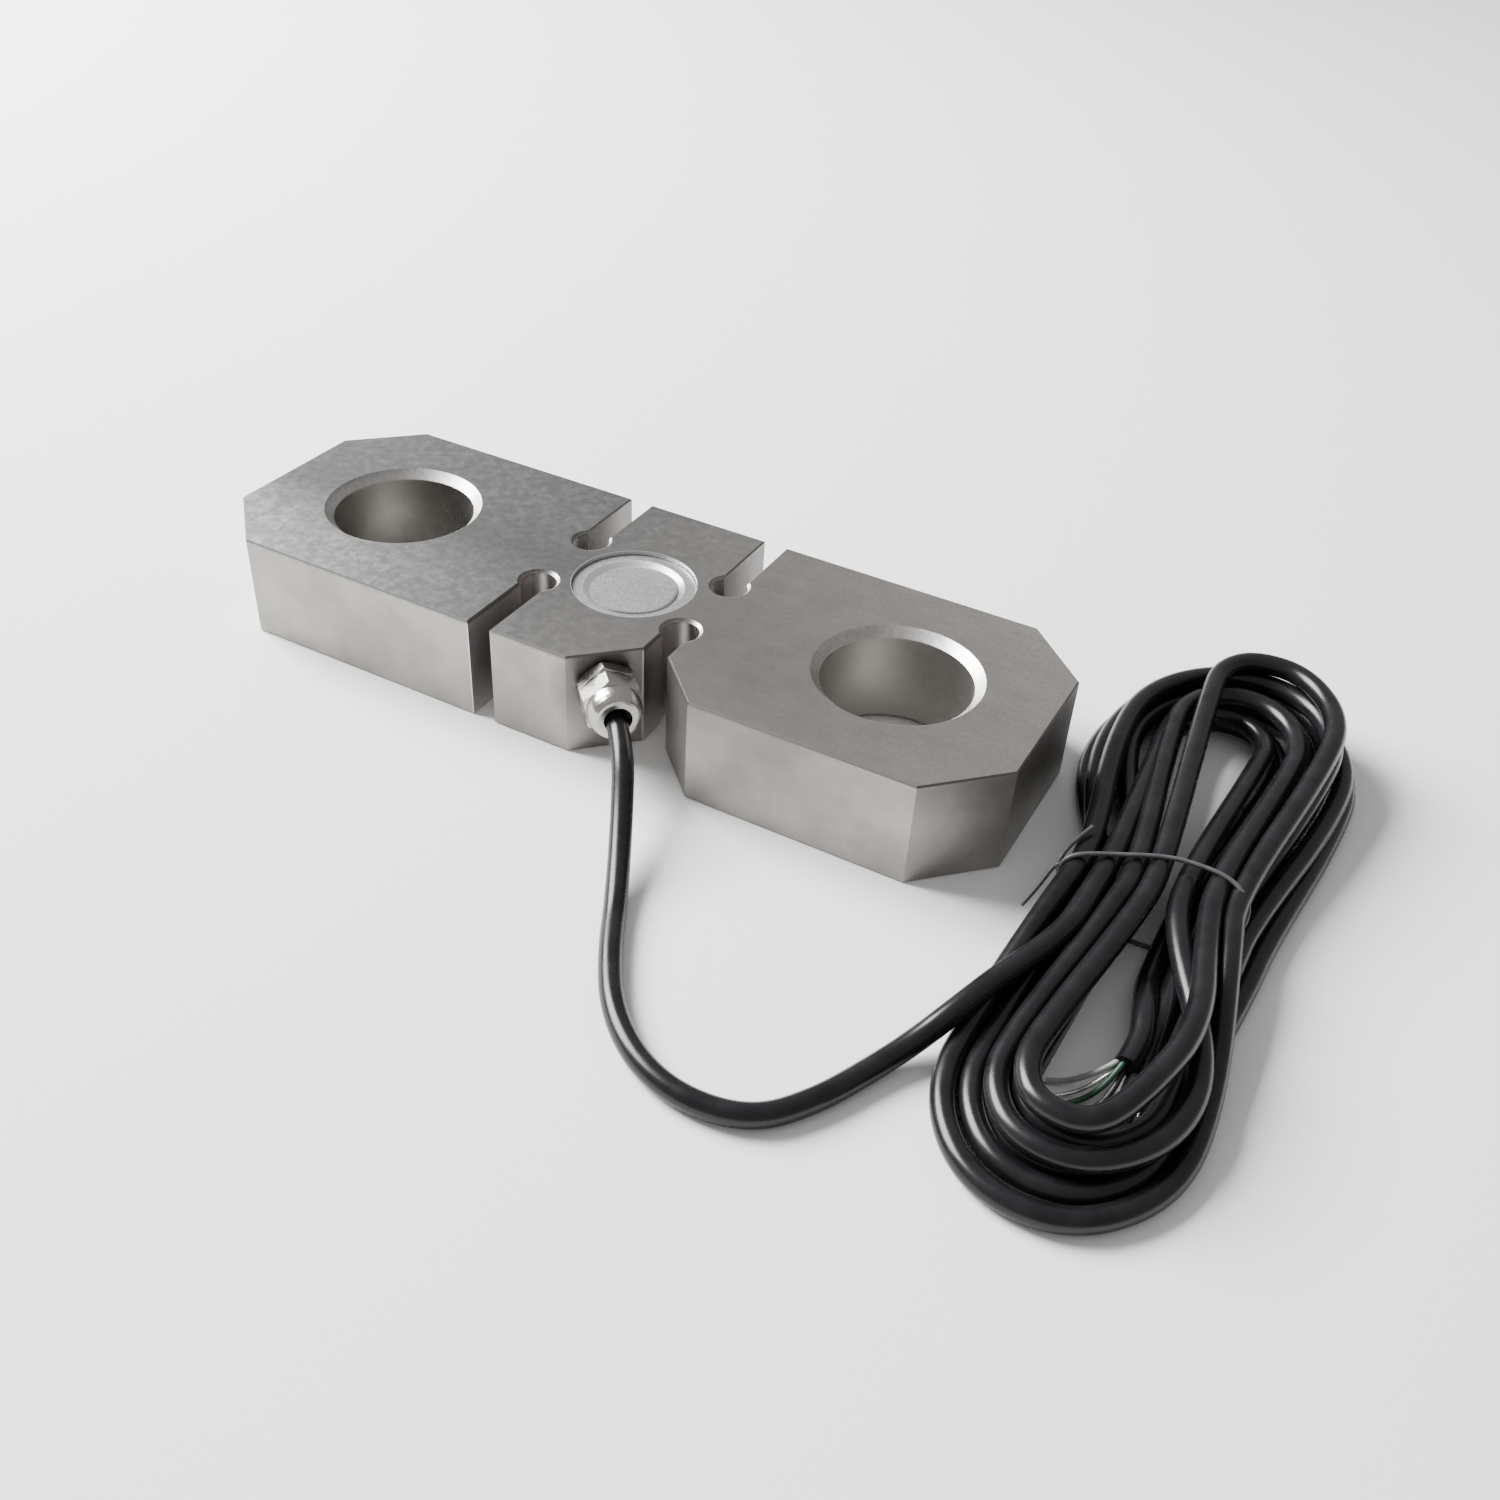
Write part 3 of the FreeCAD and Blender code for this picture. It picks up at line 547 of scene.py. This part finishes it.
signal_cable, cable_line = new_wire("signal_cable", cable_diameter, roundness=6)
add_run(cable_line, cable_route + hank_points, fineness=12)
cable_jacket, tree, surface, variation = new_material(
    "cable_jacket", metallic=0.0, cloud_scale=130.0, grain_scale=2200.0,
)
clouds = variation.outputs["Clouds"]
jacket_tone = blend(tree, clouds, (0.005, 0.005, 0.0059), (0.011, 0.011, 0.0126))
tree.links.new(jacket_tone, surface.inputs["Base Color"])
tree.links.new(spread(tree, clouds, 0.22, 0.3), surface.inputs["Roughness"])
surface.inputs["Specular IOR Level"].default_value = 0.33
roughen(tree, surface, clouds, depth=0.00006, strength=0.1)
cable_line.materials.append(cable_jacket)
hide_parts("cable_run", "cable_hank")
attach(signal_cable, "root")


# Cable end: the four cores and the bare screen wire fan out of the cut jacket, each core stripped
# back a few millimetres to its tinned strands.
tinned_copper = plain_finish(
    "tinned_copper", metallic=1.0, scales=(400.0, 3000.0),
    tones=((0.62, 0.61, 0.58), (0.8, 0.79, 0.76)), roughness=(0.22, 0.38),
)
core_diameter = 1.3
drain_diameter = 0.9
strands_share = 0.5
strands_along = (-1.0, 1.6, 3.6)
inside_jacket = (0.5, 4.0)
sideways_bow = (1.6, -0.2)
landing_share = 0.6
landing_rise = 0.1
for name, mouth, crest, tip, diameter in (
    ("core_white", (166.5, -74.2, 8.2), 4.2, (153.6, -81.0, 0.8), core_diameter),
    ("drain_wire", (166.5, -74.4, 6.6), 3.8, (156.6, -83.6, 0.6), drain_diameter),
    ("core_green", (167.2, -74.6, 8.4), 4.2, (159.6, -84.4, 0.8), core_diameter),
    ("core_black", (167.6, -74.8, 6.4), 3.6, (163.0, -85.8, 0.8), core_diameter),
    ("core_red", (169.2, -74.6, 5.7), 6.7, (173.4, -82.0, 6.5), core_diameter),
):
    start = (mouth[0] + inside_jacket[0], mouth[1] + inside_jacket[1], mouth[2])
    middle_x = (mouth[0] + tip[0]) / 2 + sideways_bow[0]
    middle_y = (mouth[1] + tip[1]) / 2 + sideways_bow[1]
    landing_x = (1 - landing_share) * middle_x + landing_share * tip[0]
    landing_y = (1 - landing_share) * middle_y + landing_share * tip[1]
    landing = (landing_x, landing_y, tip[2] + landing_rise)
    end_piece, end_line = new_wire(name + "_end", diameter / mm_in_m, roundness=4)
    add_run(end_line, [start, mouth, (middle_x, middle_y, crest), landing, tip], fineness=8)
    if name == "drain_wire":
        end_line.materials.append(tinned_copper)
    else:
        colour = name.split("_")[1]
        end_line.materials.append(insulations[colour])
        end_line.materials.append(tinned_copper)
        reach = math.hypot(tip[0] - landing_x, tip[1] - landing_y)
        ahead_x = (tip[0] - landing_x) / reach
        ahead_y = (tip[1] - landing_y) / reach
        bare = [(tip[0] + ahead_x * far, tip[1] + ahead_y * far, tip[2]) for far in strands_along]
        strands = add_run(end_line, bare, fineness=4)
        for point in strands.points:
            point.radius = strands_share
        strands.material_index = 1
    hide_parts(name)
    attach(end_piece, "root")


# Hank tie: a plastic-coated wire, drawn tight round the waist of the hank and closed by twisting its
# two ends together at the left shoulder.
tie_diameter = 0.00116
tie_points = [
    (157.0, -30.4, 0.6), (168.0, -29.8, 0.6), (173.6, -28.6, 3.0), (176.8, -25.6, 7.2),
    (178.8, -22.4, 10.4), (178.0, -18.6, 14.4), (172.6, -15.8, 16.8), (165.0, -14.8, 16.6),
    (157.4, -16.2, 16.9), (147.2, -20.9, 16.2), (139.8, -25.0, 16.2), (136.3, -26.8, 14.6),
    (135.2, -28.4, 11.4), (137.8, -29.4, 7.0), (142.0, -30.6, 3.0), (146.6, -31.2, 0.6),
]
tie_wire, tie_line = new_wire("tie_wire", tie_diameter, roundness=4)
add_run(tie_line, tie_points, fineness=8, closed=True)
twist_start = (135.8, -27.8, 12.4)
twist_drift = (-1.2, 0.4, -0.4)
twist_width = (0.4, 0.5, 0.58)
twist_angle = 1.5 * math.pi
twist_steps = 6
for side, tail in (
    (0.0, [(134.9, -24.8, 13.2), (136.0, -20.6, 15.0), (138.6, -15.0, 16.6)]),
    (math.pi, [(133.6, -30.0, 10.6), (132.6, -34.0, 8.4), (131.0, -38.4, 6.0)]),
):
    twist = []
    for step in range(twist_steps + 1):
        share = step / twist_steps
        angle = side + share * twist_angle
        across = math.cos(angle)
        upright = math.sin(angle)
        twist.append((
            twist_start[0] + twist_drift[0] * share + twist_width[0] * across,
            twist_start[1] + twist_drift[1] * share + twist_width[1] * across,
            twist_start[2] + twist_drift[2] * share + twist_width[2] * upright,
        ))
    add_run(tie_line, twist + tail, fineness=6)
tie_coating = plain_finish(
    "tie_coating", metallic=0.0, scales=(300.0, 2600.0),
    tones=((0.045, 0.045, 0.047), (0.085, 0.085, 0.09)), roughness=(0.34, 0.48),
    relief=("Grain", 0.00003, 0.2),
)
tie_line.materials.append(tie_coating)
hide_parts("hank_tie")
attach(tie_wire, "root")


# Floor, light and camera of the picture: a plain pale floor, one large soft light at the left, a
# little white light from all round, and a camera that looks down from the near right.
bpy.ops.object.select_all(action="DESELECT")
bpy.ops.mesh.primitive_plane_add(size=8.0, location=(0.0, 0.0, 0.0))
floor = bpy.context.active_object
floor.name = "floor"
floor_paint, tree, surface, variation = new_material(
    "floor_paint", metallic=0.0, cloud_scale=3.0, grain_scale=200.0,
)
paint_tone = blend(tree, variation.outputs["Clouds"], (0.93, 0.93, 0.93), (0.95, 0.95, 0.95))
tree.links.new(paint_tone, surface.inputs["Base Color"])
surface.inputs["Roughness"].default_value = 0.95
surface.inputs["Specular IOR Level"].default_value = 0.0
floor.data.materials.append(floor_paint)

world = bpy.data.worlds.new("studio")
world.use_nodes = True
all_round = world.node_tree.nodes["Background"]
all_round.inputs["Color"].default_value = (1.0, 1.0, 1.0, 1.0)
all_round.inputs["Strength"].default_value = 0.5
bpy.context.scene.world = world

lamp_place = (-1.3, 0.05, 1.05)
lamp_aim = (0.05, -0.02, 0.0)
lamp = bpy.data.lights.new("key", "AREA")
lamp.energy = 130.0
lamp.size = 1.0
lamp_object = bpy.data.objects.new("key", lamp)
bpy.context.collection.objects.link(lamp_object)
lamp_object.location = lamp_place
aim_x, aim_y, aim_z = (end - start for start, end in zip(lamp_place, lamp_aim))
lamp_tilt = math.atan2(math.hypot(aim_x, aim_y), -aim_z)
lamp_turn = math.atan2(aim_y, aim_x) - math.pi / 2
lamp_object.rotation_euler = (lamp_tilt, 0.0, lamp_turn)

camera_data = bpy.data.cameras.new("camera")
camera_data.lens = 36.7445
camera_data.sensor_width = 36.0
camera = bpy.data.objects.new("camera", camera_data)
bpy.context.collection.objects.link(camera)
camera.location = (0.19069, -0.30429, 0.24978)
camera.rotation_euler = (math.radians(52.414), math.radians(-2.8629), math.radians(28.7866))
bpy.context.scene.camera = camera
